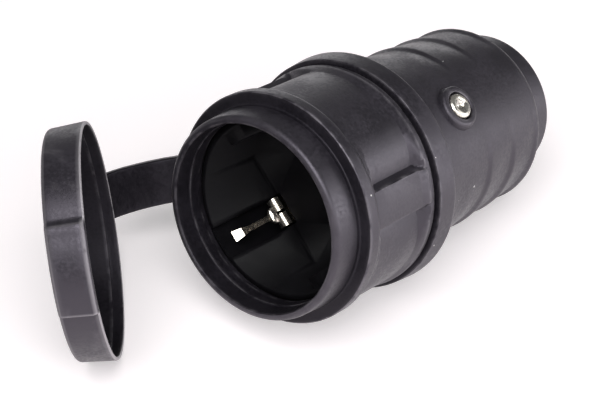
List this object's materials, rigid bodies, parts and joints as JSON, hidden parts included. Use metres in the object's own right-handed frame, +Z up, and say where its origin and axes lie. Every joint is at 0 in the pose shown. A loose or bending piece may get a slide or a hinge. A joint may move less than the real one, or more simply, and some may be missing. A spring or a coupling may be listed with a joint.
{
  "type": "inline socket connector",
  "caption": "Black rubber inline mains coupling socket with a round recessed mouth, side earth clips, grip pads, a waved screw-fixed rear hood and a hinged strap lid.",
  "frame": {"origin": "on the socket's axis, in the plane of the collar's front face, at the inner end of the mouth bore", "axes": "+Y runs level from the mouth towards the cable end, +Z up, +X to the right seen from the mouth; the socket's own axis dips by its resting tilt towards the cable end"},
  "size_m": [0.0757, 0.1426, 0.0579],
  "materials": {
    "sleeve_rubber": "satin black moulded rubber",
    "hood_rubber": "satin black moulded rubber",
    "lid_rubber": "satin black moulded rubber",
    "seal_rubber": "matt black rubber",
    "insert_plastic": "fine matt black moulded plastic",
    "contact_brass": "plain turned brass",
    "clip_nickel": "bright nickel plate",
    "spring_steel": "blued spring steel",
    "screw_nickel": "bright nickel plate",
    "screw_steel": "zinc plated steel"
  },
  "bodies": {
    "connector": {"socket_sleeve": "sleeve_rubber", "rear_hood": "hood_rubber", "seal_ring": "seal_rubber", "cable_grommet": "seal_rubber", "lid_strap": "lid_rubber", "socket_insert": "insert_plastic", "line_contact": "contact_brass", "neutral_contact": "contact_brass", "line_contact_spring": "spring_steel", "neutral_contact_spring": "spring_steel", "line_terminal_screw": "screw_steel", "neutral_terminal_screw": "screw_steel", "earth_bracket": "clip_nickel", "earth_terminal": "contact_brass", "earth_terminal_screw": "screw_steel", "terminal_carrier": "insert_plastic", "insert_screws": "screw_steel", "cord_clamp": "insert_plastic", "cord_clamp_screws": "screw_steel", "hood_screw": "screw_nickel", "hood_screw_nut": "contact_brass"},
    "lid": {"lid": "lid_rubber"}
  },
  "joints": [
    {"name": "lid_hinge", "type": "hinge", "parent": "connector", "child": "lid", "pos_m": [-0.03975, 0.01016, -0.01553], "axis": [-0.3355, 0.1164, 0.9348], "range_deg": [-90, 50.2], "stiffness_Nm_per_rad": 0.04, "deforming": ["lid_strap"]}
  ]
}
